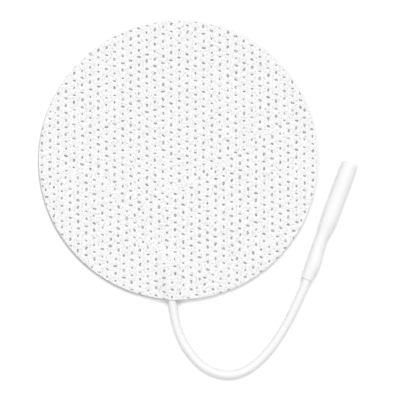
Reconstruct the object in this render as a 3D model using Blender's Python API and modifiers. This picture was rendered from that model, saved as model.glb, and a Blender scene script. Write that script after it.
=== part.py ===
"""Electrotherapy electrode pad: a round laminated pad with a pigtail lead and a socket connector.

Metres, +Z up. The origin is the centre of the gel's underside, on the surface that the pad
lies on. The lead leaves the pad towards -Y and the connector points towards +Y.
"""

import math

import bmesh
import bpy
from mathutils import Matrix, Vector

MM = 0.001

# Laminate, from the skin side up
PAD_DIAMETER = 70.0 * MM
GEL_THICKNESS = 1.0 * MM
FILM_THICKNESS = 0.10 * MM
ADHESIVE_THICKNESS = 0.10 * MM
LAMINATE_GAP = 0.02 * MM
EDGE_SIDES = 120

# Apertured cloth: ribs, with a column of ovals and slanted slots by turns in each valley
CLOTH_VALLEY_THICKNESS = 0.34 * MM
RIB_HEIGHT = 0.18 * MM
RIB_ROUNDNESS = 0.8
RIB_PITCH = 2.034 * MM
ROW_PITCH = 1.818 * MM
ROW_STAGGER = 0.405
OVAL_SIZE = (0.55 * MM, 0.80 * MM)
OVAL_TILT = math.radians(-4)
SLOT_SIZE = (0.86 * MM, 0.48 * MM)
SLOT_TILT = math.radians(-17)
APERTURE_SIDES = 8
APERTURE_EVERY = 3
CLOTH_HEM = 1.2 * MM

# Lead, where it is buried in the pad
LEAD_DIAMETER = 2.1 * MM
BURIED_LENGTH = 7.5 * MM
EXIT_BEARING = math.radians(-92.5)
INWARD_HEADING = math.radians(96.4)
GEL_DIP = 0.60 * MM
SEAT_GAP = 0.08 * MM
TROUGH_SPREAD = 1.55
TENT_SPREAD = 2.4
TENT_RUNOUT = 7.0 * MM

# Bare strands, fanned out on the film
STRAND_COUNT = 7
STRAND_DIAMETER = 0.12 * MM
STRAND_SPACING = 0.16 * MM
STRAND_END_GAP = 0.10 * MM
FAN_LENGTH = 20.0 * MM
FAN_STEP = math.radians(7.0)
FAN_SETTLE = 6.0 * MM
FAN_POINT_SPACING = 1.7 * MM

# Socket contact, rolled from sheet metal
PIN_DIAMETER = 2.0 * MM
PIN_CLEARANCE = 0.02 * MM
CONTACT_WALL = 0.25 * MM
SOCKET_LENGTH = 15.45 * MM
FUNNEL_LENGTH = 2.0 * MM
CRIMP_LENGTH = 4.5 * MM
CRIMP_WALL = 0.35 * MM
SEAM_WIDTH = 0.22 * MM
CORE_DIAMETER = 0.90 * MM

# Moulded connector body
SEAT_CLEARANCE = 0.05 * MM
BARREL_WALL = 0.78 * MM
WAIST_WALL = 0.64 * MM
GRIP_WALL = 0.72 * MM
LIP_WALL = 0.38 * MM
MOUTH_DEPTH = 1.2 * MM
MOUTH_CLEARANCE = 0.12 * MM
MOUTH_CHAMFER = 0.35 * MM
STRIP_LENGTH = 2.0 * MM
LEAD_ENGAGEMENT = 5.5 * MM
EDGE_ROUND = 0.28 * MM
EDGE_ROUND_STEPS = 2
SHARP_RIM = math.radians(60)
BODY_SIDES_RESOLUTION = 10
BODY_RUN_RESOLUTION = 3

# Where the stretches of the body end, and how far each leans towards its right side
GRIP_CREST = 4.2 * MM
NECK_LENGTH = 1.5 * MM
NECK_SETBACK = 0.4 * MM
SHOULDER_OVERLAP = 2.0 * MM
SHOULDER_RUNOUT = 4.0 * MM
SHOULDER_DROP = 0.035 * MM
LIP_LEAN = -0.12 * MM
GRIP_LEAN = 0.13 * MM
NECK_LEAN = -0.19 * MM
SHOULDER_LEAN = 0.03 * MM

# Where the connector lies
REAR_PLACE = (32.31 * MM, -29.91 * MM)
CONNECTOR_BEARING = math.radians(20.4)
TURNED_SIDES = 24

# Worked out from the sizes above
PAD_RADIUS = PAD_DIAMETER / 2
LEAD_RADIUS = LEAD_DIAMETER / 2
STRAND_RADIUS = STRAND_DIAMETER / 2
GEL_TOP = GEL_THICKNESS
FILM_BASE = GEL_TOP + LAMINATE_GAP
FILM_TOP = FILM_BASE + FILM_THICKNESS
ADHESIVE_BASE = FILM_TOP + STRAND_DIAMETER + 2 * LAMINATE_GAP
ADHESIVE_TOP = ADHESIVE_BASE + ADHESIVE_THICKNESS
CLOTH_BASE = ADHESIVE_TOP + LAMINATE_GAP
BURIED_AXIS = FILM_TOP - GEL_DIP + SEAT_GAP + LEAD_RADIUS
TENT_LIFT = BURIED_AXIS + LEAD_RADIUS + SEAT_GAP - ADHESIVE_BASE
TROUGH_WIDTH = TROUGH_SPREAD * LEAD_RADIUS
TENT_WIDTH = TENT_SPREAD * LEAD_RADIUS
INWARD = Vector((math.cos(INWARD_HEADING), math.sin(INWARD_HEADING)))
SIDEWAYS = Vector((INWARD.y, -INWARD.x))
EXIT_PLACE = PAD_RADIUS * Vector((math.cos(EXIT_BEARING), math.sin(EXIT_BEARING)))
BURIED_END = EXIT_PLACE + BURIED_LENGTH * INWARD

CONTACT_BORE = PIN_DIAMETER / 2 + PIN_CLEARANCE
CONTACT_RADIUS = CONTACT_BORE + CONTACT_WALL
CORE_RADIUS = CORE_DIAMETER / 2
CRIMP_BORE = CORE_RADIUS + SEAT_CLEARANCE
CRIMP_RADIUS = CRIMP_BORE + CRIMP_WALL
LEAD_SEAT = LEAD_RADIUS + SEAT_CLEARANCE
BARREL_RADIUS = CONTACT_RADIUS + SEAT_CLEARANCE + BARREL_WALL
WAIST_RADIUS = CRIMP_RADIUS + SEAT_CLEARANCE + WAIST_WALL
GRIP_RADIUS = LEAD_SEAT + GRIP_WALL
LIP_RADIUS = LEAD_SEAT + LIP_WALL
CRIMP_START = LEAD_ENGAGEMENT + STRIP_LENGTH
FUNNEL_START = CRIMP_START + CRIMP_LENGTH
SOCKET_START = FUNNEL_START + FUNNEL_LENGTH
SOCKET_END = SOCKET_START + SOCKET_LENGTH
BODY_LENGTH = SOCKET_END + SEAT_CLEARANCE + MOUTH_DEPTH


def smooth_step(value):
    """0 below 0, 1 above 1, and an S curve between."""
    clamped = min(max(value, 0.0), 1.0)
    return clamped * clamped * (3.0 - 2.0 * clamped)


def new_collection(name):
    collection = bpy.data.collections.new(name)
    bpy.context.scene.collection.children.link(collection)
    return collection


def clear_scene():
    for thing in list(bpy.data.objects):
        bpy.data.objects.remove(thing)


clear_scene()
PARTS = new_collection("electrode_pad")
CUTTERS = new_collection("cutters")


def material(name, colour, roughness, metallic=0.0, transmission=0.0):
    made = bpy.data.materials.new(name)
    made.use_nodes = True
    shader = made.node_tree.nodes["Principled BSDF"]
    shader.inputs["Base Color"].default_value = (*colour, 1.0)
    shader.inputs["Roughness"].default_value = roughness
    shader.inputs["Metallic"].default_value = metallic
    shader.inputs["Transmission Weight"].default_value = transmission
    made.diffuse_color = (*colour, 1.0)
    return made


CLOTH = material("white_cloth", (0.92, 0.93, 0.93), 0.9)
ADHESIVE = material("milky_adhesive", (0.55, 0.56, 0.57), 0.5)
FILM = material("carbon_film", (0.03, 0.03, 0.03), 0.6)
GEL = material("hydrogel", (0.86, 0.85, 0.74), 0.2, transmission=0.4)
PVC = material("white_pvc", (0.93, 0.94, 0.94), 0.35)
PLATED = material("nickel_plate", (0.74, 0.72, 0.69), 0.25, metallic=1.0)
TINNED = material("tinned_copper", (0.78, 0.76, 0.73), 0.3, metallic=1.0)


def object_from(bm, name, collection):
    bmesh.ops.recalc_face_normals(bm, faces=bm.faces)
    mesh = bpy.data.meshes.new(name)
    bm.to_mesh(mesh)
    bm.free()
    made = bpy.data.objects.new(name, mesh)
    collection.objects.link(made)
    return made


def as_cutter(made):
    """A cutter is never rendered and shows as a wire frame."""
    made.hide_render = True
    made.display_type = "WIRE"
    return made


def boolean(made, cutter, operation):
    modifier = made.modifiers.new(f"{operation.lower()} {cutter.name}", "BOOLEAN")
    modifier.operation = operation
    modifier.solver = "EXACT"
    modifier.object = cutter


# Heights of the laminate. The lead is buried between the film and the cloth: the soft gel
# gives way in a trough under it, and the cloth rises over it in a wider tent. Both run out
# past its end.


def along_and_aside(x, y):
    """Distance past the lead's buried end, and sideways from its axis."""
    reach = Vector((x, y)) - BURIED_END
    return reach.dot(INWARD), reach.dot(SIDEWAYS)


def by_lead(x, y, width):
    """1 on the lead's axis, falling to 0 beside it and past its end."""
    past_end, aside = along_and_aside(x, y)
    bell = math.exp(-((aside / width) ** 2))
    return bell * (1.0 - smooth_step(past_end / TENT_RUNOUT))


def dipped(height):
    return lambda x, y: height - GEL_DIP * by_lead(x, y, TROUGH_WIDTH)


def lifted(height):
    return lambda x, y: height + TENT_LIFT * by_lead(x, y, TENT_WIDTH)


def table_top(x, y):
    return 0.0


def rib_profile(x):
    """0 in a valley, where the apertures are, and 1 on the crest of a rib."""
    phase = (x / RIB_PITCH) % 1.0
    return math.sin(math.pi * phase) ** RIB_ROUNDNESS


def cloth_top(x, y):
    crest = RIB_HEIGHT * rib_profile(x)
    return lifted(CLOTH_BASE)(x, y) + CLOTH_VALLEY_THICKNESS + crest


# Grid lines that the sheets share, fine where the lead bends them
FINE_STEP = 0.55 * MM
ROW_STEP = 1.1 * MM
BELL_REACH = 2.35
TRIM_MARGIN = 2.0 * MM
SAMPLES_PER_RIB = 4
OUTSIDE = PAD_RADIUS + TRIM_MARGIN


def spaced(start, end, step):
    count = math.ceil((end - start) / step)
    return [start + (end - start) * index / count for index in range(count + 1)]


def is_bent(x, width):
    """Whether a bell of this width beside the lead reaches the line at x."""
    left = min(BURIED_END.x, EXIT_PLACE.x) - BELL_REACH * width
    right = max(BURIED_END.x, EXIT_PLACE.x) + BELL_REACH * width
    return left <= x <= right


def cloth_columns():
    """Lines along the ribs, with more between them where the lead lifts the cloth."""
    reach = math.ceil(OUTSIDE / RIB_PITCH) * SAMPLES_PER_RIB
    lines = [index * RIB_PITCH / SAMPLES_PER_RIB for index in range(-reach, reach + 1)]
    columns = [lines[0]]
    for left, right in zip(lines, lines[1:]):
        step = FINE_STEP if is_bent(right, TENT_WIDTH) else right - left
        columns += spaced(left, right, step)[1:]
    return columns


def flat_columns(width):
    """Lines of a sheet with no ribs: only those where the lead bends it, and its two ends."""
    bent = [x for x in CLOTH_COLUMNS if is_bent(x, width)]
    return [CLOTH_COLUMNS[0], *bent, CLOTH_COLUMNS[-1]]


CLOTH_COLUMNS = cloth_columns()
SHEET_ROWS = spaced(-OUTSIDE, BURIED_END.y + TENT_RUNOUT + ROW_STEP, ROW_STEP) + [OUTSIDE]


def laid_sheet(name, columns, underside, topside, look):
    """A sheet of the laminate on a shared grid, raised to its two height functions."""
    bm = bmesh.new()
    last_column = len(columns) - 1
    last_row = len(SHEET_ROWS) - 1
    bmesh.ops.create_grid(bm, x_segments=last_column, y_segments=last_row, size=1.0)
    for vert in bm.verts:
        column = round((vert.co.x + 1.0) / 2.0 * last_column)
        row = round((vert.co.y + 1.0) / 2.0 * last_row)
        x, y = columns[column], SHEET_ROWS[row]
        vert.co = (x, y, underside(x, y))
    bmesh.ops.triangulate(bm, faces=bm.faces, quad_method="FIXED")
    raised = bmesh.ops.extrude_face_region(bm, geom=bm.faces[:], use_keep_orig=True)
    for vert in (thing for thing in raised["geom"] if isinstance(thing, bmesh.types.BMVert)):
        vert.co.z = topside(vert.co.x, vert.co.y)
    sheet = object_from(bm, name, PARTS)
    sheet.data.materials.append(look)
    return sheet


def die_ring():
    """The round die that trims the whole laminate in one stroke."""
    height = 4 * (ADHESIVE_TOP + TENT_LIFT)
    bm = bmesh.new()
    bmesh.ops.create_cone(
        bm,
        cap_ends=True,
        segments=EDGE_SIDES,
        radius1=PAD_RADIUS,
        radius2=PAD_RADIUS,
        depth=height,
    )
    return as_cutter(object_from(bm, "die_ring", CUTTERS))


def aperture_places():
    """(place, is a slot) of every third aperture of every third column, in staggered columns."""
    column_pitch = RIB_PITCH * APERTURE_EVERY
    row_pitch = ROW_PITCH * APERTURE_EVERY
    columns = math.ceil(PAD_RADIUS / column_pitch)
    rows = math.ceil(PAD_RADIUS / row_pitch + columns * ROW_STAGGER)
    farthest = PAD_RADIUS - CLOTH_HEM - max(*OVAL_SIZE, *SLOT_SIZE) / 2
    for column in range(-columns, columns + 1):
        for row in range(-rows, rows + 1):
            place = Vector((column * column_pitch, (row + column * ROW_STAGGER) * row_pitch))
            if place.length < farthest:
                yield place, row % 2 == 0


def aperture_punches():
    """One punch for each aperture, long enough to go right through the lifted cloth."""
    low = CLOTH_BASE - ADHESIVE_THICKNESS
    high = cloth_top(RIB_PITCH / 2, 0) + TENT_LIFT + ADHESIVE_THICKNESS
    bm = bmesh.new()
    for place, is_slot in aperture_places():
        width, length = SLOT_SIZE if is_slot else OVAL_SIZE
        tilt = SLOT_TILT if is_slot else OVAL_TILT
        upright = Matrix.Translation((*place, (high + low) / 2)) @ Matrix.Rotation(tilt, 4, "Z")
        bmesh.ops.create_cone(
            bm,
            cap_ends=True,
            segments=APERTURE_SIDES,
            radius1=0.5,
            radius2=0.5,
            depth=high - low,
            matrix=upright @ Matrix.Diagonal((width, length, 1.0, 1.0)),
        )
    return as_cutter(object_from(bm, "aperture_punches", CUTTERS))


def laminate():
    die = die_ring()
    under = flat_columns(TROUGH_WIDTH)
    over = flat_columns(TENT_WIDTH)
    sheets = (
        laid_sheet("hydrogel", under, table_top, dipped(GEL_TOP), GEL),
        laid_sheet("carbon_film", under, dipped(FILM_BASE), dipped(FILM_TOP), FILM),
        laid_sheet("adhesive_coat", over, lifted(ADHESIVE_BASE), lifted(ADHESIVE_TOP), ADHESIVE),
        laid_sheet("fabric_backing", CLOTH_COLUMNS, lifted(CLOTH_BASE), cloth_top, CLOTH),
    )
    for sheet in sheets:
        boolean(sheet, die, "INTERSECT")
    boolean(sheets[-1], aperture_punches(), "DIFFERENCE")


# Lead and strands


def tube(name, points, radius, resolution, look):
    """A round wire through the points, with closed ends."""
    curve = bpy.data.curves.new(name, "CURVE")
    curve.dimensions = "3D"
    curve.bevel_depth = radius
    curve.bevel_resolution = resolution
    curve.use_fill_caps = True
    spline = curve.splines.new("POLY")
    spline.points.add(len(points) - 1)
    for point, place in zip(spline.points, points):
        point.co = (*place, 1.0)
    curve.materials.append(look)
    made = bpy.data.objects.new(name, curve)
    PARTS.objects.link(made)
    return made


def smooth_route(stops, spacing):
    """Points on a smooth curve through the stops, about one spacing apart."""
    before = stops[0] * 2 - stops[1]
    after = stops[-1] * 2 - stops[-2]
    held = [before, *stops, after]
    points = [stops[0]]
    for a, b, c, d in zip(held, held[1:], held[2:], held[3:]):
        count = max(1, round((c - b).length / spacing))
        for index in range(1, count + 1):
            t = index / count
            smooth = b * 2 + (c - a) * t
            smooth += (a * 2 - b * 5 + c * 4 - d) * t**2
            smooth += (b * 3 - a - c * 3 + d) * t**3
            points.append(smooth / 2)
    return points


FLOOR_AXIS = LEAD_RADIUS + LAMINATE_GAP
CONNECTOR_AXIS = BARREL_RADIUS + LAMINATE_GAP
CONNECTOR_HEADING = Vector((math.sin(CONNECTOR_BEARING), math.cos(CONNECTOR_BEARING), 0.0))
REAR = Vector((*REAR_PLACE, CONNECTOR_AXIS))
LEAD_POINT_SPACING = 2 * LEAD_DIAMETER
STRAIGHT_RUN = 2.0 * MM


def lead_height(from_pad, from_connector):
    """The axis height of a route point, as shares of the rise to the pad and to the connector."""
    to_pad = from_pad * (BURIED_AXIS - FLOOR_AXIS)
    to_connector = from_connector * (CONNECTOR_AXIS - FLOOR_AXIS)
    return FLOOR_AXIS + to_pad + to_connector


def lead_stops():
    """The lead's route: buried end, pad edge, a loop on the surface, connector."""
    buried = [
        Vector((*(EXIT_PLACE + share * BURIED_LENGTH * INWARD), BURIED_AXIS))
        for share in (1.0, 0.5, 0.0)
    ]
    leaving = Vector((*(EXIT_PLACE - STRAIGHT_RUN / 2 * INWARD), BURIED_AXIS))
    loop = [
        Vector((x * MM, y * MM, lead_height(from_pad, from_connector)))
        for x, y, from_pad, from_connector in (
            (-1.08, -38.2, 0.65, 0.0),
            (-0.55, -41.0, 0.20, 0.0),
            (0.45, -44.0, 0.0, 0.0),
            (2.20, -47.3, 0.0, 0.0),
            (5.35, -51.1, 0.0, 0.0),
            (9.00, -53.25, 0.0, 0.0),
            (13.05, -53.95, 0.0, 0.0),
            (17.15, -52.75, 0.0, 0.0),
            (20.97, -49.8, 0.0, 0.0),
            (24.35, -45.75, 0.0, 0.10),
            (27.25, -41.05, 0.0, 0.35),
            (29.75, -35.95, 0.0, 0.80),
        )
    ]
    seated = [REAR + CONNECTOR_HEADING * run for run in (-STRAIGHT_RUN, 0.0, LEAD_ENGAGEMENT)]
    return [*buried, leaving, *loop, *seated]


def bundle_places():
    """Places of the strands in the lead's end, one in the middle of six, from left to right."""
    ring = [
        STRAND_SPACING * Vector((math.cos(angle), math.sin(angle)))
        for angle in (math.tau * index / 6 for index in range(6))
    ]
    return sorted([Vector((0.0, 0.0)), *ring], key=lambda place: (round(place.x, 7), place.y))


def strand_points(index, bundle):
    """From the lead's end down to the film, spreading sideways as it goes."""
    spread = math.tan((index - (STRAND_COUNT - 1) / 2) * FAN_STEP)
    points = []
    for run in spaced(STRAND_END_GAP, FAN_LENGTH, FAN_POINT_SPACING):
        aside = bundle.x + run * spread
        place = BURIED_END + run * INWARD + aside * SIDEWAYS
        on_film = dipped(FILM_TOP)(*place) + LAMINATE_GAP + STRAND_RADIUS
        settled = smooth_step(run / FAN_SETTLE)
        height = (BURIED_AXIS + bundle.y) * (1.0 - settled) + on_film * settled
        points.append(Vector((*place, height)))
    return points


def lead():
    tube("lead_wire", smooth_route(lead_stops(), LEAD_POINT_SPACING), LEAD_RADIUS, 2, PVC)
    for index, bundle in zip(range(STRAND_COUNT), bundle_places()):
        tube(f"strand_{index + 1}", strand_points(index, bundle), STRAND_RADIUS, 1, TINNED)


# Connector, built along its own +Z with its rear face at the origin


def turned(name, profile, collection, hollow=False):
    """A turned shape. The profile (radius, run) goes down its outer side, front to rear."""
    bm = bmesh.new()
    verts = [bm.verts.new((radius, 0.0, run)) for radius, run in profile]
    for a, b in zip(verts, verts[1:]):
        bm.edges.new((a, b))
    if hollow:
        bm.edges.new((verts[-1], verts[0]))
    mesh = bpy.data.meshes.new(name)
    bm.to_mesh(mesh)
    bm.free()
    made = bpy.data.objects.new(name, mesh)
    collection.objects.link(made)
    screw = made.modifiers.new("turn", "SCREW")
    screw.steps = TURNED_SIDES
    screw.render_steps = TURNED_SIDES
    screw.use_merge_vertices = True
    screw.merge_threshold = 1e-6
    screw.use_smooth_shade = True
    return made


def seat_profile():
    """The hole right through the body: lead, core, crimp, funnel, socket and mouth."""
    mouth = PIN_DIAMETER / 2 + MOUTH_CLEARANCE
    core_seat = CORE_RADIUS + SEAT_CLEARANCE
    crimp_seat = CRIMP_RADIUS + SEAT_CLEARANCE
    socket_seat = CONTACT_RADIUS + SEAT_CLEARANCE
    return (
        (0.0, BODY_LENGTH + MOUTH_CHAMFER),
        (mouth + 2 * MOUTH_CHAMFER, BODY_LENGTH + MOUTH_CHAMFER),
        (mouth, BODY_LENGTH - MOUTH_CHAMFER),
        (mouth, SOCKET_END + SEAT_CLEARANCE),
        (socket_seat, SOCKET_END + SEAT_CLEARANCE),
        (socket_seat, SOCKET_START),
        (crimp_seat, FUNNEL_START),
        (crimp_seat, CRIMP_START - SEAT_CLEARANCE),
        (core_seat, CRIMP_START - SEAT_CLEARANCE),
        (core_seat, LEAD_ENGAGEMENT + SEAT_CLEARANCE),
        (LEAD_SEAT, LEAD_ENGAGEMENT + SEAT_CLEARANCE),
        (LEAD_SEAT, -LEAD_DIAMETER),
        (0.0, -LEAD_DIAMETER),
    )


def contact_profile():
    """Outer side of the contact from the socket back to the crimp, then its bore forward."""
    return (
        (CONTACT_RADIUS, SOCKET_END),
        (CONTACT_RADIUS, SOCKET_START),
        (CRIMP_RADIUS, FUNNEL_START),
        (CRIMP_RADIUS, CRIMP_START),
        (CRIMP_BORE, CRIMP_START),
        (CRIMP_BORE, FUNNEL_START),
        (CONTACT_BORE, SOCKET_START),
        (CONTACT_BORE, SOCKET_END - CONTACT_WALL / 2),
        (CONTACT_BORE + CONTACT_WALL / 2, SOCKET_END),
    )


def midway(station, following):
    return tuple((a + b) / 2 for a, b in zip(station, following))


def body_stations():
    """Stations of the moulded body from the rear: run, radius, and lean towards its right side.

    Its left side is nearly straight. The right side swells for the finger, narrows to the
    neck over the crimp, and widens again over a shoulder into the barrel.
    """
    neck_end = FUNNEL_START - NECK_SETBACK
    shoulder_end = SOCKET_START + SHOULDER_OVERLAP
    lip = (0.0, LIP_RADIUS, LIP_LEAN)
    grip = (GRIP_CREST, GRIP_RADIUS, GRIP_LEAN)
    neck = (neck_end - NECK_LENGTH, WAIST_RADIUS, NECK_LEAN)
    neck_front = (neck_end, WAIST_RADIUS, NECK_LEAN)
    shoulder = (shoulder_end, BARREL_RADIUS - SHOULDER_DROP, SHOULDER_LEAN)
    barrel = (shoulder_end + SHOULDER_RUNOUT, BARREL_RADIUS, 0.0)
    front = (BODY_LENGTH, BARREL_RADIUS, 0.0)
    return (
        lip,
        midway(lip, grip),
        grip,
        midway(grip, neck),
        neck,
        neck_front,
        midway(neck_front, shoulder),
        shoulder,
        barrel,
        front,
    )


def moulded_body():
    """A curve whose radius and centre follow the stations, made a mesh and bored through."""
    curve = bpy.data.curves.new("connector_body", "CURVE")
    curve.dimensions = "3D"
    curve.bevel_depth = BARREL_RADIUS
    curve.bevel_resolution = BODY_SIDES_RESOLUTION
    curve.resolution_u = BODY_RUN_RESOLUTION
    spline = curve.splines.new("BEZIER")
    spline.radius_interpolation = "CARDINAL"
    stations = body_stations()
    spline.bezier_points.add(len(stations) - 1)
    for point, (run, radius, lean) in zip(spline.bezier_points, stations):
        point.co = (lean, 0.0, run)
        point.radius = radius / BARREL_RADIUS
        point.handle_left_type = "AUTO"
        point.handle_right_type = "AUTO"
    guide = bpy.data.objects.new("body_guide", curve)
    PARTS.objects.link(guide)
    graph = bpy.context.evaluated_depsgraph_get()
    mesh = bpy.data.meshes.new_from_object(guide.evaluated_get(graph))
    place = guide.matrix_world.copy()
    bpy.data.objects.remove(guide)
    bm = bmesh.new()
    bm.from_mesh(mesh)
    bmesh.ops.remove_doubles(bm, verts=bm.verts, dist=1e-6)
    bmesh.ops.holes_fill(bm, edges=[edge for edge in bm.edges if edge.is_boundary])
    body = object_from(bm, "connector_body", PARTS)
    body.matrix_world = place
    body.data.materials.append(PVC)
    rounding = body.modifiers.new("rounded rims", "BEVEL")
    rounding.limit_method = "ANGLE"
    rounding.angle_limit = SHARP_RIM
    rounding.width = EDGE_ROUND
    rounding.segments = EDGE_ROUND_STEPS
    bore = as_cutter(turned("connector_bore", seat_profile(), CUTTERS))
    boolean(body, bore, "DIFFERENCE")
    return body, bore


def seam_blade():
    """A thin blade that parts the rolled socket along its top."""
    bm = bmesh.new()
    bmesh.ops.create_cube(bm, size=1.0)
    length = SOCKET_LENGTH + 2 * CONTACT_WALL
    for vert in bm.verts:
        vert.co.x *= SEAM_WIDTH
        vert.co.y = (vert.co.y - 0.5) * 2 * CONTACT_RADIUS
        vert.co.z = SOCKET_START + (vert.co.z + 0.5) * length
    return as_cutter(object_from(bm, "seam_blade", CUTTERS))


def connector():
    holder = bpy.data.objects.new("connector_axis", None)
    PARTS.objects.link(holder)
    holder.location = REAR
    holder.rotation_euler = (-math.pi / 2, 0.0, -CONNECTOR_BEARING)
    body, bore = moulded_body()
    contact = turned("socket_contact", contact_profile(), PARTS, hollow=True)
    contact.data.materials.append(PLATED)
    blade = seam_blade()
    boolean(contact, blade, "DIFFERENCE")
    core_profile = (
        (0.0, FUNNEL_START),
        (CORE_RADIUS, FUNNEL_START),
        (CORE_RADIUS, LEAD_ENGAGEMENT + SEAT_CLEARANCE),
        (0.0, LEAD_ENGAGEMENT + SEAT_CLEARANCE),
    )
    core = turned("wire_core", core_profile, PARTS)
    core.data.materials.append(TINNED)
    for piece in (body, bore, contact, blade, core):
        piece.parent = holder


laminate()
lead()
connector()
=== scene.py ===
"""Looks of an electrotherapy electrode pad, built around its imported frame. Metres, +Z up."""

import math
import random

import bmesh
import bpy
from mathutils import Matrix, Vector, kdtree, noise
from mathutils.geometry import delaunay_2d_cdt


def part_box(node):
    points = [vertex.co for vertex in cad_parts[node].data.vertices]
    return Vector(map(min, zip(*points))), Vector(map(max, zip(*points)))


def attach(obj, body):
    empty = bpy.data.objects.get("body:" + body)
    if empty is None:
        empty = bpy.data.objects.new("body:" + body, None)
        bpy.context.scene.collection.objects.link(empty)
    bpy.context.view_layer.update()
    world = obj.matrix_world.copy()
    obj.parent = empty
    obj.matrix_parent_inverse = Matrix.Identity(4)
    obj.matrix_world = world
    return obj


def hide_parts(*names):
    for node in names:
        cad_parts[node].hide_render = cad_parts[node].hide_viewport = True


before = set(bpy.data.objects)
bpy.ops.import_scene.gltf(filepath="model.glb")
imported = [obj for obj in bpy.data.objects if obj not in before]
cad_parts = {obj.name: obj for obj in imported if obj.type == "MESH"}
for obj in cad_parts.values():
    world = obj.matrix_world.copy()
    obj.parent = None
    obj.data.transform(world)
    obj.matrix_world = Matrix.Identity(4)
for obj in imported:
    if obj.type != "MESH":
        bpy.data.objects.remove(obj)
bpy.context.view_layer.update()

# Camera
# The pad lies flat and is seen from straight above, through a long lens that keeps its
# outline round. The view is centred between the pad and its connector.
MM = 0.001
VIEW_CENTRE = (5.46 * MM, -10.01 * MM)
VIEW_WIDTH = 100.56 * MM
# The height at which the picture is VIEW_WIDTH wide
VIEW_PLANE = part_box("adhesive_coat")[0].z
LENS_MM = 135.0
SENSOR_MM = 36.0
NEAREST_SEEN = 10 * MM


def add_to_scene(name, data):
    """A new object that shows the data."""
    made = bpy.data.objects.new(name, data)
    bpy.context.scene.collection.objects.link(made)
    return made


camera_data = bpy.data.cameras.new("camera")
camera_data.lens = LENS_MM
camera_data.sensor_width = SENSOR_MM
camera_data.clip_start = NEAREST_SEEN
camera = add_to_scene("camera", camera_data)
camera.location = (*VIEW_CENTRE, VIEW_PLANE + VIEW_WIDTH * LENS_MM / SENSOR_MM)
bpy.context.scene.camera = camera

# Lead
# A white pigtail lead: tinned strands in extruded soft PVC, 2.1 mm thick. Its bare end is
# buried between film and cloth, and its other end is moulded into the connector.
LEAD_DIAMETER = 2.1 * MM
LEAD_STOPS_MM = (
    (-2.363, -27.514, 1.650),
    (-1.945, -31.240, 1.650),
    (-1.527, -34.967, 1.650),
    (-1.415, -35.961, 1.650),
    (-1.080, -38.200, 1.447),
    (-0.550, -41.000, 1.186),
    (0.450, -44.000, 1.070),
    (2.200, -47.300, 1.070),
    (5.350, -51.100, 1.070),
    (9.000, -53.250, 1.070),
    (13.050, -53.950, 1.070),
    (17.150, -52.750, 1.070),
    (20.970, -49.800, 1.070),
    (24.350, -45.750, 1.175),
    (27.250, -41.050, 1.438),
    (29.750, -35.950, 1.910),
    (31.613, -31.785, 2.120),
    (32.310, -29.910, 2.120),
    (34.227, -24.755, 2.120),
)
LEAD_SPACING = 0.6 * MM
LEAD_ROUND_STEPS = 8
GRAIN_DETAIL = 4.0
GRAIN_DARK_AT = 0.3
GRAIN_PALE_AT = 0.7
RELIEF_STRENGTH = 0.5
LIGHT_IN_SHARE = 0.15
LIGHT_IN_DEPTH = 0.3 * MM


def smooth_route(stops, spacing):
    """Points on a smooth curve through the stops, about one spacing apart."""
    before = stops[0] * 2 - stops[1]
    after = stops[-1] * 2 - stops[-2]
    held = [before, *stops, after]
    points = [stops[0]]
    for a, b, c, d in zip(held, held[1:], held[2:], held[3:]):
        count = max(1, round((c - b).length / spacing))
        for index in range(1, count + 1):
            t = index / count
            smooth = b * 2 + (c - a) * t
            smooth += (a * 2 - b * 5 + c * 4 - d) * t**2
            smooth += (b * 3 - a - c * 3 + d) * t**3
            points.append(smooth / 2)
    return points


def shader_of(name):
    """A new material, its Principled shader and a function that adds a node to it."""
    material = bpy.data.materials.new(name)
    material.use_nodes = True
    nodes = material.node_tree.nodes
    return material, nodes["Principled BSDF"], nodes.new


def wire_up(owner, *pairs):
    """Links each pair of an output and an input in the owner's nodes."""
    for source, target in pairs:
        owner.node_tree.links.new(source, target)


def tone_ramp(add, *stops):
    """A ramp between two tones, each given as its place on the ramp and its colour."""
    ramp = add("ShaderNodeValToRGB")
    for element, (position, colour) in zip(ramp.color_ramp.elements, stops):
        element.position = position
        element.color = (*colour, 1.0)
    return ramp


def mottled(name, pale, dark, size, bump, roughness, metallic=0.0):
    """A material that wanders between two tones, its noise also raised as fine relief."""
    material, shader, add = shader_of(name)
    shader.inputs["Metallic"].default_value = metallic
    shader.inputs["Roughness"].default_value = roughness
    place = add("ShaderNodeTexCoord")
    grain = add("ShaderNodeTexNoise")
    grain.inputs["Scale"].default_value = 1 / size
    grain.inputs["Detail"].default_value = GRAIN_DETAIL
    tones = tone_ramp(add, (GRAIN_DARK_AT, dark), (GRAIN_PALE_AT, pale))
    relief = add("ShaderNodeBump")
    relief.inputs["Strength"].default_value = RELIEF_STRENGTH
    relief.inputs["Distance"].default_value = bump
    wire_up(
        material,
        (place.outputs["Object"], grain.inputs["Vector"]),
        (grain.outputs["Fac"], tones.inputs["Fac"]),
        (tones.outputs["Color"], shader.inputs["Base Color"]),
        (grain.outputs["Fac"], relief.inputs["Height"]),
        (relief.outputs["Normal"], shader.inputs["Normal"]),
    )
    return material


def let_light_in(material):
    """Soft white PVC scatters light a little below its surface."""
    shader = material.node_tree.nodes["Principled BSDF"]
    shader.inputs["Subsurface Weight"].default_value = LIGHT_IN_SHARE
    shader.inputs["Subsurface Radius"].default_value = (1.0, 1.0, 1.0)
    shader.inputs["Subsurface Scale"].default_value = LIGHT_IN_DEPTH


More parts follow.
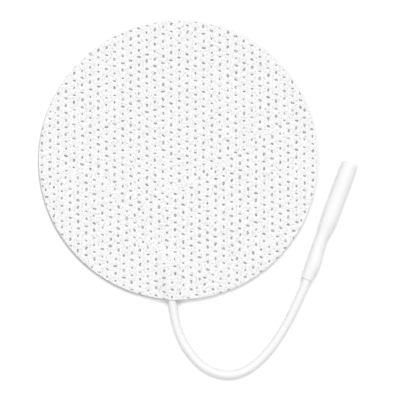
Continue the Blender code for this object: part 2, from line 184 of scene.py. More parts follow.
extruded_pvc = mottled(
    "extruded_pvc",
    pale=(0.995, 0.995, 0.995),
    dark=(0.985, 0.985, 0.985),
    size=1.6 * MM,
    bump=0.01 * MM,
    roughness=0.34,
)
let_light_in(extruded_pvc)
lead_curve = bpy.data.curves.new("lead", "CURVE")
lead_curve.dimensions = "3D"
lead_curve.bevel_depth = LEAD_DIAMETER / 2
lead_curve.bevel_resolution = LEAD_ROUND_STEPS
lead_curve.use_fill_caps = True
lead_stops = [Vector(stop) * MM for stop in LEAD_STOPS_MM]
lead_points = smooth_route(lead_stops, LEAD_SPACING)
lead_spline = lead_curve.splines.new("POLY")
lead_spline.points.add(len(lead_points) - 1)
for point, place in zip(lead_spline.points, lead_points):
    point.co = (*place, 1.0)
lead_curve.materials.append(extruded_pvc)
lead = add_to_scene("lead", lead_curve)
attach(lead, "root")
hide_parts("lead_wire")

# Connector body
# A female connector moulded in white PVC over the contact and the end of the lead. Its left
# side is nearly straight; its right side swells for the finger and narrows to a neck.
BARREL_RADIUS = 2.10 * MM
REAR_PLACE = Vector((32.31, -29.91, 2.12)) * MM
CONNECTOR_BEARING = math.radians(20.4)
# Distance from the rear face, radius, and lean to the right
BODY_STATIONS_MM = (
    (0.0, 1.480, -0.12),
    (2.1, 1.650, 0.005),
    (4.2, 1.820, 0.13),
    (7.15, 1.680, -0.03),
    (10.1, 1.540, -0.19),
    (11.6, 1.540, -0.19),
    (13.8, 1.803, -0.08),
    (16.0, 2.065, 0.03),
    (20.0, 2.100, 0.0),
    (31.6, 2.100, 0.0),
)
BODY_ROUND_STEPS = 22
BODY_STEPS_BETWEEN = 10
RIM_ROUND = 0.16 * MM
RIM_STEPS = 4
RIM_TURN = math.radians(60)
# The cutter opens the bore, and past NOSE_START it leaves a round nose on the front
NOSE_START_MM = 30.60
NOSE_RISE_MM = 0.60
NOSE_RIDGE_RADIUS_MM = 1.50
NOSE_WIDTH_MM = 0.62
NOSE_TURNS = [math.radians(15 * step) for step in range(7)]
BORE_PROFILE_MM = (
    (0.0, 32.0),
    (2.6, 32.0),
    (2.6, NOSE_START_MM),
    *(
        (
            NOSE_RIDGE_RADIUS_MM + NOSE_WIDTH_MM * math.cos(turn),
            NOSE_START_MM + NOSE_RISE_MM * math.sin(turn),
        )
        for turn in NOSE_TURNS
    ),
    (1.12, 30.80),
    (1.12, 29.50),
    (1.32, 29.50),
    (1.32, 14.00),
    (0.90, 12.00),
    (0.90, 5.55),
    (1.10, 5.55),
    (1.10, -2.00),
    (0.0, -2.00),
)
TURNED_SIDES = 64
TOUCHING = 1e-6


def turned(name, profile_mm, hollow=False):
    """A turned shape, its profile (radius, run) going down its outer side, front to rear."""
    bm = bmesh.new()
    verts = [bm.verts.new((radius * MM, 0.0, run * MM)) for radius, run in profile_mm]
    for a, b in zip(verts, verts[1:]):
        bm.edges.new((a, b))
    if hollow:
        bm.edges.new((verts[-1], verts[0]))
    mesh = bpy.data.meshes.new(name)
    bm.to_mesh(mesh)
    bm.free()
    made = add_to_scene(name, mesh)
    screw = made.modifiers.new("turn", "SCREW")
    screw.steps = TURNED_SIDES
    screw.render_steps = TURNED_SIDES
    screw.use_merge_vertices = True
    screw.merge_threshold = TOUCHING
    return made


def settle(made):
    """Applies the modifiers, so that the mesh is the finished shape."""
    graph = bpy.context.evaluated_depsgraph_get()
    mesh = bpy.data.meshes.new_from_object(made.evaluated_get(graph))
    made.modifiers.clear()
    made.data = mesh


def round_rims(made, width):
    """Rounds each edge at which the faces turn sharply."""
    rims = made.modifiers.new("rims", "BEVEL")
    rims.limit_method = "ANGLE"
    rims.angle_limit = RIM_TURN
    rims.width = width
    rims.segments = RIM_STEPS
    settle(made)


def cut(made, cutter):
    """Takes the cutter away from the shape and removes the cutter."""
    modifier = made.modifiers.new("cut", "BOOLEAN")
    modifier.operation = "DIFFERENCE"
    modifier.solver = "EXACT"
    modifier.object = cutter
    settle(made)
    bpy.data.objects.remove(cutter)


def finish_surface(made, material, crease_degrees):
    """Smooth shading with creases where faces turn by more than the angle, and a material."""
    made.data.shade_smooth()
    made.data.set_sharp_from_angle(angle=math.radians(crease_degrees))
    made.data.materials.clear()
    made.data.materials.append(material)


def lay_on_axis(made):
    """Lays a piece that was built along +Z onto the connector's axis."""
    made.location = REAR_PLACE
    made.rotation_euler = (-math.pi / 2, 0.0, -CONNECTOR_BEARING)


moulded_pvc = mottled(
    "moulded_pvc",
    pale=(0.995, 0.995, 0.995),
    dark=(0.985, 0.985, 0.985),
    size=2.4 * MM,
    bump=0.015 * MM,
    roughness=0.4,
)
let_light_in(moulded_pvc)
body_curve = bpy.data.curves.new("body_guide", "CURVE")
body_curve.dimensions = "3D"
body_curve.bevel_depth = BARREL_RADIUS
body_curve.bevel_resolution = BODY_ROUND_STEPS
body_curve.resolution_u = BODY_STEPS_BETWEEN
body_spline = body_curve.splines.new("BEZIER")
body_spline.radius_interpolation = "CARDINAL"
body_spline.bezier_points.add(len(BODY_STATIONS_MM) - 1)
for point, (run, radius, lean) in zip(body_spline.bezier_points, BODY_STATIONS_MM):
    point.co = (lean * MM, 0.0, run * MM)
    point.radius = radius * MM / BARREL_RADIUS
    point.handle_left_type = "AUTO"
    point.handle_right_type = "AUTO"
body_guide = add_to_scene("body_guide", body_curve)
body_mesh = bpy.data.meshes.new_from_object(
    body_guide.evaluated_get(bpy.context.evaluated_depsgraph_get())
)
bpy.data.objects.remove(body_guide)
bm = bmesh.new()
bm.from_mesh(body_mesh)
bmesh.ops.remove_doubles(bm, verts=bm.verts, dist=TOUCHING)
bmesh.ops.holes_fill(bm, edges=[edge for edge in bm.edges if edge.is_boundary])
bmesh.ops.recalc_face_normals(bm, faces=bm.faces)
bm.to_mesh(body_mesh)
bm.free()
connector = add_to_scene("connector", body_mesh)
round_rims(connector, RIM_ROUND)
cut(connector, turned("bore", BORE_PROFILE_MM))
finish_surface(connector, moulded_pvc, crease_degrees=40)
lay_on_axis(connector)
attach(connector, "root")
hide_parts("connector_body")

# Socket contact
# The socket for a 2 mm pin: thin sheet brass, rolled to a tube with a seam along it and
# nickel plated. Its rear end is crimped on the lead's bare core.
CONTACT_PROFILE_MM = (
    (1.27, 29.40),
    (1.27, 14.00),
    (0.85, 12.00),
    (0.85, 7.50),
    (0.50, 7.50),
    (0.50, 12.00),
    (1.02, 14.00),
    (1.02, 29.27),
    (1.15, 29.45),
    (1.22, 29.45),
)
SEAM_WIDTH = 0.22 * MM
SEAM_REACH = 2 * LEAD_DIAMETER
SEAM_START = 14.0 * MM
SEAM_LENGTH = 16.0 * MM

nickel_plate = mottled(
    "nickel_plate",
    pale=(0.76, 0.74, 0.70),
    dark=(0.66, 0.64, 0.60),
    size=0.8 * MM,
    bump=0.004 * MM,
    roughness=0.24,
    metallic=1.0,
)
contact = turned("contact", CONTACT_PROFILE_MM, hollow=True)
bm = bmesh.new()
bmesh.ops.create_cube(bm, size=1.0)
for vert in bm.verts:
    vert.co.x *= SEAM_WIDTH
    vert.co.y = (vert.co.y - 0.5) * SEAM_REACH
    vert.co.z = SEAM_START + (vert.co.z + 0.5) * SEAM_LENGTH
blade_mesh = bpy.data.meshes.new("seam_blade")
bm.to_mesh(blade_mesh)
bm.free()
cut(contact, add_to_scene("seam_blade", blade_mesh))
finish_surface(contact, nickel_plate, crease_degrees=35)
lay_on_axis(contact)
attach(contact, "root")
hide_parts("socket_contact")

# Bare core and strands
# Tinned copper, seven strands: twisted together in the contact's crimp, and fanned out on
# the film at the pad's end, where the layers above hold them down.
tinned_copper = mottled(
    "tinned_copper",
    pale=(0.80, 0.78, 0.75),
    dark=(0.62, 0.58, 0.54),
    size=0.5 * MM,
    bump=0.004 * MM,
    roughness=0.32,
    metallic=1.0,
)


def dress(node_name, material):
    """Gives a node of the frame its material."""
    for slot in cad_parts[node_name].material_slots:
        slot.material = material


for node_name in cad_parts:
    if node_name.startswith("strand_") or node_name == "wire_core":
        dress(node_name, tinned_copper)

# Hydrogel
# The skin side: a soft, milky gel cast over a fine net of threads. It sticks to the film by
# itself and gives way under the lead. Its cut edge slumps round and stands a hair proud of
# the cloth on one side.
PAD_RADIUS = 35.0 * MM
GEL_HEIGHT = 1.0 * MM
GEL_DIP = 0.60 * MM
GEL_EDGE_ROUND = 0.32 * MM
GEL_EDGE_POINTS = 240
GEL_SET_OFF = Vector((-0.37 * MM, -0.23 * MM))
GEL_SPACING = 4.0 * MM
GEL_FILL_RADIUS = PAD_RADIUS - 2.0 * MM
GEL_COLOUR = (0.88, 0.88, 0.86, 1.0)
GEL_RIPPLE_LENGTH = 3 * MM
GEL_RIPPLE_DEPTH = 0.05 * MM
NET_PITCH = 2.6 * MM
NET_THREAD = 0.09 * MM
NET_COLOUR = (0.96, 0.96, 0.95, 1.0)
# The buried part of the lead bends each layer, over a trough's width and past its end
BURIED_END = Vector((-2.363 * MM, -27.514 * MM))
BURIED_BEARING = math.radians(96.4)
INWARD = Vector((math.cos(BURIED_BEARING), math.sin(BURIED_BEARING)))
SIDEWAYS = Vector((INWARD.y, -INWARD.x))
TROUGH_WIDTH = 1.55 * LEAD_DIAMETER / 2
RUNOUT = 7.0 * MM
BENT_SPACING = 0.7 * MM
BENT_FILL_RADIUS = PAD_RADIUS - 0.8 * MM
BENT_LEAST = 0.002
SAME_POINT = 1e-9


def by_lead(place, width):
    """1 on the buried lead, falling to 0 beside it and past its end."""
    reach = place - BURIED_END
    bell = math.exp(-((reach.dot(SIDEWAYS) / width) ** 2))
    past = min(max(reach.dot(INWARD) / RUNOUT, 0.0), 1.0)
    return bell * (1.0 - past * past * (3.0 - 2.0 * past))


def ring(radius, count):
    """Points spread evenly round a circle."""
    turns = (math.tau * index / count for index in range(count))
    return [Vector((radius * math.cos(turn), radius * math.sin(turn))) for turn in turns]


def staggered_fill(spacing, reach):
    """Points of a staggered grid inside a circle."""
    row_height = spacing * math.sqrt(3) / 2
    rows = math.ceil(reach / row_height)
    columns = math.ceil(reach / spacing)
    for row in range(-rows, rows + 1):
        for column in range(-columns, columns + 1):
            place = Vector(((column + 0.5 * (row % 2)) * spacing, row * row_height))
            if place.length < reach:
                yield place


def fill_by_lead(width):
    """Close-set points where the lead bends a sheet."""
    close_set = staggered_fill(BENT_SPACING, BENT_FILL_RADIUS)
    return [place for place in close_set if by_lead(place, width) > BENT_LEAST]


def laid_sheet(name, loops, top_fill, low_fill, top_height, low_height):
    """A closed sheet. The loops are its outer edge and its holes, the fills its other points.

    Each side is triangulated by itself, and the loops of the two sides are joined by walls.
    """
    edge_points = [place for loop in loops for place in loop]
    outlines = []
    first = 0
    for loop in loops:
        outlines.append(list(range(first, first + len(loop))))
        first += len(loop)
    verts = []
    faces = []
    sides = ((top_fill, top_height, 1), (low_fill, low_height, -1))
    starts = []
    for fill, height, facing in sides:
        places = [*edge_points, *fill]
        start = len(verts)
        starts.append(start)
        verts += [(*place, height(place)) for place in places]
        triangulated = delaunay_2d_cdt(places, [], outlines, 0, SAME_POINT)
        # A face of the sheet lies in the outer edge, which is loop 0, and in no hole
        for face, loops_round_it in zip(triangulated[2], triangulated[5]):
            if loops_round_it == [0]:
                faces.append([start + corner for corner in face[::facing]])
    for outline in outlines:
        for a, b in zip(outline, outline[1:] + outline[:1]):
            faces.append([starts[0] + a, starts[1] + a, starts[1] + b, starts[0] + b])
    mesh = bpy.data.meshes.new(name)
    mesh.from_pydata(verts, [], faces)
    mesh.validate()
    bm = bmesh.new()
    bm.from_mesh(mesh)
    bmesh.ops.recalc_face_normals(bm, faces=bm.faces)
    bm.to_mesh(mesh)
    bm.free()
    return add_to_scene(name, mesh)


clear_gel, gel_shader, add_gel_node = shader_of("clear_gel")
gel_shader.inputs["Roughness"].default_value = 0.16
gel_shader.inputs["IOR"].default_value = 1.38
gel_shader.inputs["Transmission Weight"].default_value = 0.20
gel_place = add_gel_node("ShaderNodeTexCoord")
gel_split = add_gel_node("ShaderNodeSeparateXYZ")
wire_up(clear_gel, (gel_place.outputs["Object"], gel_split.inputs["Vector"]))
net_lines = []
for axis_name in ("X", "Y"):
    wrapped = add_gel_node("ShaderNodeMath")
    wrapped.operation = "PINGPONG"
    wrapped.inputs[1].default_value = NET_PITCH / 2
    thread = add_gel_node("ShaderNodeMath")
    thread.operation = "LESS_THAN"
    thread.inputs[1].default_value = NET_THREAD
    wire_up(
        clear_gel,
        (gel_split.outputs[axis_name], wrapped.inputs[0]),
        (wrapped.outputs["Value"], thread.inputs[0]),
    )
    net_lines.append(thread)
net = add_gel_node("ShaderNodeMath")
net.operation = "MAXIMUM"
gel_colour = add_gel_node("ShaderNodeMixRGB")
gel_colour.inputs["Color1"].default_value = GEL_COLOUR
gel_colour.inputs["Color2"].default_value = NET_COLOUR
gel_ripple = add_gel_node("ShaderNodeTexNoise")
gel_ripple.inputs["Scale"].default_value = 1 / GEL_RIPPLE_LENGTH
gel_relief = add_gel_node("ShaderNodeBump")
gel_relief.inputs["Strength"].default_value = 0.4
gel_relief.inputs["Distance"].default_value = GEL_RIPPLE_DEPTH
wire_up(
    clear_gel,
    (net_lines[0].outputs["Value"], net.inputs[0]),
    (net_lines[1].outputs["Value"], net.inputs[1]),
    (net.outputs["Value"], gel_colour.inputs["Fac"]),
    (gel_colour.outputs["Color"], gel_shader.inputs["Base Color"]),
    (gel_place.outputs["Object"], gel_ripple.inputs["Vector"]),
    (gel_ripple.outputs["Fac"], gel_relief.inputs["Height"]),
    (gel_relief.outputs["Normal"], gel_shader.inputs["Normal"]),
)


def gel_top(place):
    return GEL_HEIGHT - GEL_DIP * by_lead(place, TROUGH_WIDTH)


def table_top(place):
    return 0.0


gel_fill = list(staggered_fill(GEL_SPACING, GEL_FILL_RADIUS))
gel = laid_sheet(
    "gel",
    [[place + GEL_SET_OFF for place in ring(PAD_RADIUS, GEL_EDGE_POINTS)]],
    fill_by_lead(TROUGH_WIDTH) + gel_fill,
    gel_fill,
    gel_top,
    table_top,
)
round_rims(gel, GEL_EDGE_ROUND)
finish_surface(gel, clear_gel, crease_degrees=50)
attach(gel, "root")
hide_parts("hydrogel")

# Carbon film
# A black vinyl film loaded with carbon, a tenth of a millimetre thick. It spreads the
# current from the strands over the whole gel, and shows as a thin dark line at the edge.
carbon_film = mottled(
    "carbon_film",
    pale=(0.045, 0.045, 0.047),
    dark=(0.022, 0.022, 0.023),
    size=0.6 * MM,
    bump=0.01 * MM,
    roughness=0.55,
)
dress("carbon_film", carbon_film)

# Adhesive coat
# A milky, pressure-sensitive coat on the cloth's underside that bonds it to the film. The
# film behind it makes it look grey through the cloth's apertures.
milky_adhesive = mottled(
    "milky_adhesive",
    pale=(0.55, 0.55, 0.55),
    dark=(0.34, 0.34, 0.34),
    size=1.5 * MM,
    bump=0.02 * MM,
    roughness=0.45,
)
dress("adhesive_coat", milky_adhesive)

# Apertured cloth
# The backing: a soft white spunlaced cloth, die cut round. Water jets push columns of small
# apertures through it, upright ovals and slanted slots by turns, with soft lips round them.
CLOTH_BASE = 1.41 * MM
CLOTH_LAND = 0.50 * MM
CLOTH_RISE = 1.50 * MM
TENT_WIDTH = 2.4 * LEAD_DIAMETER / 2
CLOTH_SPACING = 0.42 * MM
EDGE_POINTS = 900
# Land between the apertures: its pillows, its slow sway, and the press of the die at the edge
PILLOW_WIDTH = 0.62 * MM
PILLOW_SHARE = 0.20
SWAY_LENGTH = 5.0 * MM
SWAY_HEIGHT = 0.03 * MM
EDGE_PRESS = 0.25 * MM
PRESSED_SHARE = 0.22
# Columns of apertures, each with a half width, a half length, a tilt, and chance in them
COLUMN_PITCH = 2.030 * MM
ROW_PITCH = 1.818 * MM
ROW_STAGGER = 0.405
OVAL = (0.28 * MM, 0.42 * MM, math.radians(-4))
SLOT = (0.45 * MM, 0.25 * MM, math.radians(-17))
APERTURE_POINTS = 14
APERTURE_GROWTH = (0.70, 1.12)
APERTURE_TILT_SPREAD = math.radians(9)
APERTURE_STRAY_MM = (0.05, 0.06)
APERTURE_UNEVEN = 0.09
CLOSEST = 1.15 * MM
LIP_WIDTH = 0.13 * MM
LIP_DROP = 0.12 * MM
LIP_REACH = 0.30 * MM
BLIND_SHARE = 0.08
BLIND_DROP = 0.32 * MM
NOTCH_LEAST = 0.10 * MM
NOTCH_REACH = 0.05 * MM
NOTCH_LAP = 0.03 * MM
# The jets work in three bands. Where two bands meet, along a wavy line, the columns of the
# one fall between those of the other.
BAND_ORIGINS_MM = ((0.25, 0.36), (1.25, -0.46), (0.53, 1.01))
UPPER_MEETING_MM = (
    (-36.0, -8.2),
    (-28.2, -4.7),
    (-24.7, -2.7),
    (-21.1, -2.7),
    (-17.1, -6.7),
    (-13.1, -12.2),
    (-9.6, -12.7),
    (-5.1, -9.2),
    (5.5, -4.2),
    (16.6, 2.4),
    (24.1, 7.9),
    (36.0, 17.0),
)
LOWER_MEETING_MM = (
    (-36.0, -33.0),
    (-24.7, -25.8),
    (-15.6, -24.3),
    (-5.1, -20.8),
    (-2.5, -24.3),
    (0.0, -31.3),
    (3.0, -32.8),
    (7.0, -28.8),
    (17.1, -23.5),
    (36.0, -12.0),
)


def height_of_line(line_mm, x):
    """The place in Y of a line through the points, at x."""
    for (x0, y0), (x1, y1) in zip(line_mm, line_mm[1:]):
        if x0 * MM <= x <= x1 * MM:
            return (y0 + (y1 - y0) * (x / MM - x0) / (x1 - x0)) * MM
    return -PAD_RADIUS


def band_of(place):
    """The band that a place is in, 0 being the uppermost."""
    if place.y > height_of_line(UPPER_MEETING_MM, place.x):
        return 0
    return 1 if place.y > height_of_line(LOWER_MEETING_MM, place.x) else 2


def aperture_places():
    """(place, is a slot) of each aperture, column by column in each band."""
    columns = math.ceil(PAD_RADIUS / COLUMN_PITCH) + 1
    rows = math.ceil((PAD_RADIUS + columns * ROW_STAGGER * ROW_PITCH) / ROW_PITCH)
    found = []
    for band, origin in enumerate(BAND_ORIGINS_MM):
        for column in range(-columns, columns + 1):
            for row in range(-rows, rows + 1):
                x = origin[0] * MM + column * COLUMN_PITCH
                y = origin[1] * MM + (row + column * ROW_STAGGER) * ROW_PITCH
                place = Vector((x, y))
                if place.length > PAD_RADIUS + OVAL[1] or band_of(place) != band:
                    continue
                if all((place - other).length > CLOSEST for other, is_slot in found):
                    found.append((place, row % 2 == 0))
    return found


def aperture_loop(place, is_slot, chance):
    """The middle and outline of one aperture, a little different from its neighbours.

    One that only just touches the cloth's edge is moved in, whole.
    """
    half_width, half_length, tilt = SLOT if is_slot else OVAL
    grown = chance.uniform(*APERTURE_GROWTH)
    tilt += chance.gauss(0.0, APERTURE_TILT_SPREAD)
    centre = place + Vector([chance.gauss(0, stray) for stray in APERTURE_STRAY_MM]) * MM
    egg_turn = chance.uniform(0, math.tau)
    pull_turn = chance.uniform(0, math.tau)
    loop = []
    for index in range(APERTURE_POINTS):
        turn = math.tau * index / APERTURE_POINTS
        uneven = 1 + APERTURE_UNEVEN * math.cos(2 * turn + egg_turn)
        uneven += APERTURE_UNEVEN * math.cos(3 * turn + pull_turn)
        x = half_width * math.cos(turn) * grown * uneven
        y = half_length * math.sin(turn) * grown * uneven
        spun_x = x * math.cos(tilt) - y * math.sin(tilt)
        spun_y = x * math.sin(tilt) + y * math.cos(tilt)
        loop.append(centre + Vector((spun_x, spun_y)))
    reach = max(point.length for point in loop)
    if PAD_RADIUS - LIP_WIDTH < reach < PAD_RADIUS + NOTCH_LEAST:
        inwards = centre.normalized() * (PAD_RADIUS - LIP_WIDTH - reach)
        return centre + inwards, [point + inwards for point in loop]
    return centre, loop


def reaches_in(loop):
    """Whether an aperture reaches far enough into the cloth to show."""
    return min(point.length for point in loop) < PAD_RADIUS - NOTCH_LEAST


def widened(loop, centre, by):
    """The loop with its points moved away from its centre."""
    return [point + (point - centre).normalized() * by for point in loop]


chance = random.Random(7)
apertures = [aperture_loop(place, is_slot, chance) for place, is_slot in aperture_places()]
apertures = [(centre, loop) for centre, loop in apertures if reaches_in(loop)]
aperture_tree = kdtree.KDTree(len(apertures))
for number, (centre, loop) in enumerate(apertures):
    aperture_tree.insert((*centre, 0.0), number)
aperture_tree.balance()


def to_aperture(place):
    """Distance to the outline of the nearest aperture, below 0 inside it."""
    centre, loop = apertures[aperture_tree.find((*place, 0.0))[1]]
    nearest = min(loop, key=lambda point: (place - point).length)
    inside = (place - centre).length < (nearest - centre).length
    return -(place - nearest).length if inside else (place - nearest).length


def land_height(place):
    """The cloth's top: soft pillows between the apertures, lifted by the buried lead."""
    from_centre = aperture_tree.find((*place, 0.0))[2]
    pillow = 1.0 - math.exp(-((from_centre / PILLOW_WIDTH) ** 2))
    pressed = math.exp(-(((PAD_RADIUS - place.length) / EDGE_PRESS) ** 2))
    fullness = 1.0 - PILLOW_SHARE + PILLOW_SHARE * pillow - PRESSED_SHARE * pressed
    sway = noise.noise(Vector((*place, 0.0)) / SWAY_LENGTH)
    return cloth_underside(place) + CLOTH_LAND * fullness + SWAY_HEIGHT * sway


def cloth_underside(place):
    return CLOTH_BASE + CLOTH_RISE * by_lead(place, TENT_WIDTH)


# Most apertures are open. Some stay blind, as mere dimples, and the die cuts through those
# on the edge, which are left as notches in it.
drops = {}
holes = []
notches = []
lips = []
dimples = []
for centre, loop in apertures:
    lip = widened(loop, centre, LIP_WIDTH)
    lips += [point for point in lip if point.length < PAD_RADIUS - LIP_WIDTH]
    if max(point.length for point in loop) > PAD_RADIUS:
        notches.append((centre, loop))
    elif chance.random() < BLIND_SHARE:
        dimples += [*loop, centre]
        drops.update({tuple(point): BLIND_DROP for point in (*loop, centre)})
    else:
        holes.append((centre, loop))
        drops.update({tuple(point): LIP_DROP for point in loop})

# The edge runs round the pad, and along the inner part of each notch that it meets
cloth_edge = []
last_notch = None
for point in ring(PAD_RADIUS, EDGE_POINTS):
    if to_aperture(point) > NOTCH_REACH:
        cloth_edge.append(point)
        continue
    notch = min(notches, key=lambda notch: (point - notch[0]).length)
    if notch is last_notch:
        continue
    last_notch = notch
    loop = notch[1][::-1]
    inside = [place.length <= PAD_RADIUS - NOTCH_LAP for place in loop]
    first = next(
        index
        for index in range(APERTURE_POINTS)
        if inside[(index + 1) % APERTURE_POINTS] and not inside[index]
    )
    for step in range(1, APERTURE_POINTS):
        index = (first + step) % APERTURE_POINTS
        if inside[index]:
            cloth_edge.append(loop[index])
            drops[tuple(loop[index])] = LIP_DROP


def cloth_top(place):
    return land_height(place) - drops.get(tuple(place), 0.0)


cloth_fill = [
    place
    for place in (
        *staggered_fill(CLOTH_SPACING, PAD_RADIUS - EDGE_PRESS),
        *ring(PAD_RADIUS - EDGE_PRESS / 2, EDGE_POINTS),
    )
    if to_aperture(place) > LIP_WIDTH + CLOTH_SPACING / 3
]
cloth = laid_sheet(
    "cloth",
    [cloth_edge, *(loop for centre, loop in holes)],
    lips + dimples + cloth_fill,
    [place for place in fill_by_lead(TENT_WIDTH) if to_aperture(place) > LIP_WIDTH],
    cloth_top,
    cloth_underside,
)

# Fibres show as crossed streaks on the land and are packed plain white round an aperture,
# which is partly a painted highlight on the lips. A blind one is painted grey, as painted shade
# in its dimple. The share says which: 0 blind, a half land, 1 lip.
LAND_SHARE = 0.5
MICRON_PLACES = 6
STREAK_BEARINGS = (42, -48)
STREAK_SIZE = (0.70 * MM, 0.21 * MM, 1.0 * MM)
STREAK_DETAIL = 3.0
STREAK_DARK = (0.30, (0.46, 0.46, 0.46))
STREAK_PALE = (0.44, (0.995, 0.995, 0.995))
# Painted shade: the grey that the cloth in each blind dimple is multiplied by
DIMPLE_PAINTED_SHADE = (0.0, (0.62, 0.63, 0.64))
LAND_UNSHADED = (LAND_SHARE, (1.0, 1.0, 1.0))
NAP_DEPTH = 0.08 * MM

blind_points = {(round(point.x, MICRON_PLACES), round(point.y, MICRON_PLACES)) for point in dimples}
fibre_and_painted_light_shares = cloth.data.attributes.new("fibre_and_painted_light_share", "FLOAT", "POINT")
# Near an aperture the share goes toward 1 (packed fibres and a painted highlight); blind dimples
# get 0 (painted shade)
for vert in cloth.data.vertices:
    nearness = math.exp(-((max(to_aperture(vert.co.xy), 0.0) / LIP_REACH) ** 2))
    share = LAND_SHARE + (1.0 - LAND_SHARE) * nearness
    if (round(vert.co.x, MICRON_PLACES), round(vert.co.y, MICRON_PLACES)) in blind_points:
        share = 0.0
    fibre_and_painted_light_shares.data[vert.index].value = share

spunlace, cloth_shader, add_cloth_node = shader_of("spunlace")
cloth_shader.inputs["Roughness"].default_value = 0.95
cloth_shader.inputs["Specular IOR Level"].default_value = 0.2
cloth_shader.inputs["Sheen Weight"].default_value = 0.15
cloth_place = add_cloth_node("ShaderNodeTexCoord")
streaks = []
for degrees in STREAK_BEARINGS:
    laid = add_cloth_node("ShaderNodeMapping")
    laid.vector_type = "TEXTURE"
    laid.inputs["Rotation"].default_value = (0.0, 0.0, math.radians(degrees))
    laid.inputs["Scale"].default_value = STREAK_SIZE
    streak = add_cloth_node("ShaderNodeTexNoise")
    streak.inputs["Scale"].default_value = 1.0
    streak.inputs["Detail"].default_value = STREAK_DETAIL
    wire_up(
        spunlace,
        (cloth_place.outputs["Object"], laid.inputs["Vector"]),
        (laid.outputs["Vector"], streak.inputs["Vector"]),
    )
    streaks.append(streak)
fibres = add_cloth_node("ShaderNodeMath")
fibres.operation = "MINIMUM"
streak_tones = tone_ramp(add_cloth_node, STREAK_DARK, STREAK_PALE)
fibre_and_painted_light_share = add_cloth_node("ShaderNodeAttribute")
fibre_and_painted_light_share.attribute_name = "fibre_and_painted_light_share"
# Packed fibres and a painted highlight: round an aperture the cloth goes plain white, without
# streaks
lip_packing_and_highlight = add_cloth_node("ShaderNodeMapRange")
lip_packing_and_highlight.inputs["From Min"].default_value = LAND_SHARE
cloth_colour = add_cloth_node("ShaderNodeMixRGB")
cloth_colour.inputs["Color2"].default_value = (1.0, 1.0, 1.0, 1.0)
# Painted shade in the blind dimples, multiplied into the cloth's colour
dimple_shade_ramp = tone_ramp(add_cloth_node, DIMPLE_PAINTED_SHADE, LAND_UNSHADED)
cloth_with_painted_shade = add_cloth_node("ShaderNodeMixRGB")
cloth_with_painted_shade.blend_type = "MULTIPLY"
cloth_with_painted_shade.inputs["Fac"].default_value = 1.0
nap = add_cloth_node("ShaderNodeBump")
nap.inputs["Strength"].default_value = 0.5
nap.inputs["Distance"].default_value = NAP_DEPTH
wire_up(
    spunlace,
    (streaks[0].outputs["Fac"], fibres.inputs[0]),
    (streaks[1].outputs["Fac"], fibres.inputs[1]),
    (fibres.outputs["Value"], streak_tones.inputs["Fac"]),
    (fibre_and_painted_light_share.outputs["Fac"], lip_packing_and_highlight.inputs["Value"]),
    (lip_packing_and_highlight.outputs["Result"], cloth_colour.inputs["Fac"]),
    (streak_tones.outputs["Color"], cloth_colour.inputs["Color1"]),
    (fibre_and_painted_light_share.outputs["Fac"], dimple_shade_ramp.inputs["Fac"]),
    (cloth_colour.outputs["Color"], cloth_with_painted_shade.inputs["Color1"]),
    (dimple_shade_ramp.outputs["Color"], cloth_with_painted_shade.inputs["Color2"]),
    (cloth_with_painted_shade.outputs["Color"], cloth_shader.inputs["Base Color"]),
    (fibres.outputs["Value"], nap.inputs["Height"]),
    (nap.outputs["Normal"], cloth_shader.inputs["Normal"]),
)
finish_surface(cloth, spunlace, crease_degrees=60)
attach(cloth, "root")
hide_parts("fabric_backing")

# Bridging fibres
# Bundles of fibres that the jets didn't push aside still cross some apertures, sagging a
# little into them. They are of the cloth itself.
BRIDGED_SHARE = 0.60
FIBRE_RADII = (0.030 * MM, 0.065 * MM)
FIBRE_SIDES = 5
FIBRE_RUNS = 6
FIBRE_SLANTS = (-2, -1, 0, 1, 2)
FIBRE_GRIP = 0.10 * MM
FIBRE_SAG = 0.16 * MM
FIBRE_BOW_MM = 0.10

fibre_mesh = bmesh.new()
for centre, loop in holes:
    if chance.random() > BRIDGED_SHARE:
        continue
    start = chance.randrange(APERTURE_POINTS)
    end = (start + APERTURE_POINTS // 2 + chance.choice(FIBRE_SLANTS)) % APERTURE_POINTS
    near, far = widened((loop[start], loop[end]), centre, FIBRE_GRIP)
    radius = chance.uniform(*FIBRE_RADII)
    heading = (far - near).normalized()
    aside = Vector((-heading.y, heading.x, 0.0))
    bow = chance.uniform(-FIBRE_BOW_MM, FIBRE_BOW_MM) * MM
    rings = []
    for step in range(FIBRE_RUNS + 1):
        share = step / FIBRE_RUNS
        hang = math.sin(math.pi * share)
        height = land_height(near if share < 0.5 else far) - LIP_DROP / 2 - FIBRE_SAG * hang
        middle = Vector((*near.lerp(far, share), height)) + aside * bow * hang
        section = []
        for side in range(FIBRE_SIDES):
            turn = math.tau * side / FIBRE_SIDES
            outward = aside * math.cos(turn) + Vector((0, 0, math.sin(turn)))
            section.append(fibre_mesh.verts.new(middle + radius * outward))
        rings.append(section)
    for lower, upper in zip(rings, rings[1:]):
        for side in range(FIBRE_SIDES):
            following = (side + 1) % FIBRE_SIDES
            fibre_mesh.faces.new((lower[side], lower[following], upper[following], upper[side]))
    fibre_mesh.faces.new(rings[0][::-1])
    fibre_mesh.faces.new(rings[-1])
bmesh.ops.recalc_face_normals(fibre_mesh, faces=fibre_mesh.faces)
bridging_mesh = bpy.data.meshes.new("bridging_fibres")
fibre_mesh.to_mesh(bridging_mesh)
fibre_mesh.free()
bridging_mesh.shade_smooth()
bridging = add_to_scene("bridging_fibres", bridging_mesh)
fibre_white = mottled(
    "fibre_white",
    pale=(0.97, 0.97, 0.97),
    dark=(0.90, 0.905, 0.91),
    size=0.3 * MM,
    bump=0.01 * MM,
    roughness=0.9,
)
bridging.data.materials.append(fibre_white)
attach(bridging, "root")

# Floor and light
# A plain table under one soft lamp from behind and a white tent that is brightest
# overhead. The table is seen as white, with soft contact shadows, but throws back less.
FLOOR_SIZE = 3.0
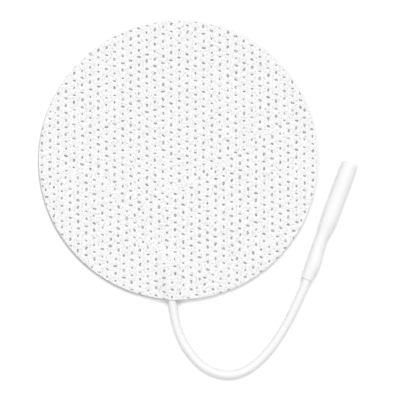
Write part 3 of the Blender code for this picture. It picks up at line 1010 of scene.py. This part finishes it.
# White for camera and reflections, with a little to spare so that only real shadows show
FLOOR_SEEN = (1.16, 1.16, 1.16, 1.0)
FLOOR_BOUNCE = (0.52, 0.52, 0.52, 1.0)
LAMP_BEARING = math.radians(85)
LAMP_ELEVATION = math.radians(62)
LAMP_SOFTNESS = math.radians(20)
# The light on a level surface adds up to 1, and an even sky gives two thirds of its rise
LAMP_SHARE = 0.29
SKY_LOW = 0.53
SKY_RISE = 1.5 * (1.0 - LAMP_SHARE - SKY_LOW)

bpy.ops.mesh.primitive_plane_add(size=FLOOR_SIZE)
floor = bpy.context.object
floor.name = "floor"
table_white, floor_shader, add_floor_node = shader_of("table_white")
floor_shader.inputs["Roughness"].default_value = 1.0
floor_shader.inputs["Specular IOR Level"].default_value = 0.0
floor_rays = add_floor_node("ShaderNodeLightPath")
seen_floor = add_floor_node("ShaderNodeMath")
seen_floor.operation = "MAXIMUM"
floor_colour = add_floor_node("ShaderNodeMixRGB")
floor_colour.inputs["Color1"].default_value = FLOOR_BOUNCE
floor_colour.inputs["Color2"].default_value = FLOOR_SEEN
wire_up(
    table_white,
    (floor_rays.outputs["Is Camera Ray"], seen_floor.inputs[0]),
    (floor_rays.outputs["Is Glossy Ray"], seen_floor.inputs[1]),
    (seen_floor.outputs["Value"], floor_colour.inputs["Fac"]),
    (floor_colour.outputs["Color"], floor_shader.inputs["Base Color"]),
)
floor.data.materials.append(table_white)

lamp_data = bpy.data.lights.new("soft_lamp", "SUN")
lamp_data.energy = LAMP_SHARE * math.pi / math.sin(LAMP_ELEVATION)
lamp_data.angle = LAMP_SOFTNESS
lamp = add_to_scene("soft_lamp", lamp_data)
lamp.rotation_euler = (0.0, math.pi / 2 - LAMP_ELEVATION, LAMP_BEARING)

tent_light = bpy.data.worlds.new("tent_light")
bpy.context.scene.world = tent_light
tent_light.use_nodes = True
add_sky_node = tent_light.node_tree.nodes.new
backdrop = tent_light.node_tree.nodes["Background"]
backdrop.inputs["Color"].default_value = (1.0, 1.0, 1.0, 1.0)
sky_place = add_sky_node("ShaderNodeTexCoord")
sky_split = add_sky_node("ShaderNodeSeparateXYZ")
sky_level = add_sky_node("ShaderNodeMath")
sky_level.operation = "MULTIPLY_ADD"
sky_level.inputs[1].default_value = SKY_RISE
sky_level.inputs[2].default_value = SKY_LOW
sky_rays = add_sky_node("ShaderNodeLightPath")
seen_sky = add_sky_node("ShaderNodeMath")
seen_sky.operation = "MAXIMUM"
sky_strength = add_sky_node("ShaderNodeMath")
sky_strength.operation = "MAXIMUM"
wire_up(
    tent_light,
    (sky_place.outputs["Generated"], sky_split.inputs["Vector"]),
    (sky_split.outputs["Z"], sky_level.inputs[0]),
    (sky_rays.outputs["Is Camera Ray"], seen_sky.inputs[0]),
    (sky_rays.outputs["Is Transmission Ray"], seen_sky.inputs[1]),
    (seen_sky.outputs["Value"], sky_strength.inputs[0]),
    (sky_level.outputs["Value"], sky_strength.inputs[1]),
    (sky_strength.outputs["Value"], backdrop.inputs["Strength"]),
)
bpy.context.scene.view_settings.view_transform = "Standard"
